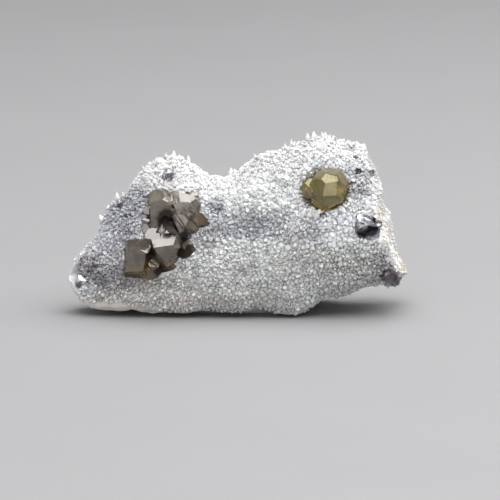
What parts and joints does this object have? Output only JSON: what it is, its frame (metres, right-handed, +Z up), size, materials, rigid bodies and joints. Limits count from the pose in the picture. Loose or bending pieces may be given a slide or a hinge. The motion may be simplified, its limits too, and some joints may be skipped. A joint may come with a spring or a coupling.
{
  "type": "sphalerite with quartz",
  "caption": "Hand specimen: a quartz plate with a crust of quartz points, brown and yellow sphalerite crystals and dark galena, standing on its underside.",
  "frame": {"origin": "on the flat part of the underside that the specimen rests on, under the middle of its length", "axes": "+Z up as it rests, -Y out of the crystal-covered front, +X along its length to the right as seen from the front"},
  "size_m": [0.1008, 0.0408, 0.0536],
  "materials": {
    "quartz": "glassy white and grey quartz",
    "brown_sphalerite": "adamantine, dark brown to amber",
    "yellow_sphalerite": "adamantine, see-through yellow-olive",
    "galena": "metallic lead grey"
  },
  "bodies": {
    "root": {"quartz_matrix": "quartz", "sphalerite_cluster": "brown_sphalerite", "sphalerite_yellow": "yellow_sphalerite", "galena_right": "galena", "galena_lower_right": "galena", "galena_upper_left": "galena", "galena_left_end": "galena", "galena_grain_1": "galena", "galena_grain_2": "galena", "galena_grain_3": "galena", "galena_grain_4": "galena", "galena_grain_5": "galena", "galena_grain_6": "galena", "galena_grain_7": "galena", "galena_grain_8": "galena", "galena_grain_9": "galena", "galena_grain_10": "galena"}
  },
  "joints": []
}
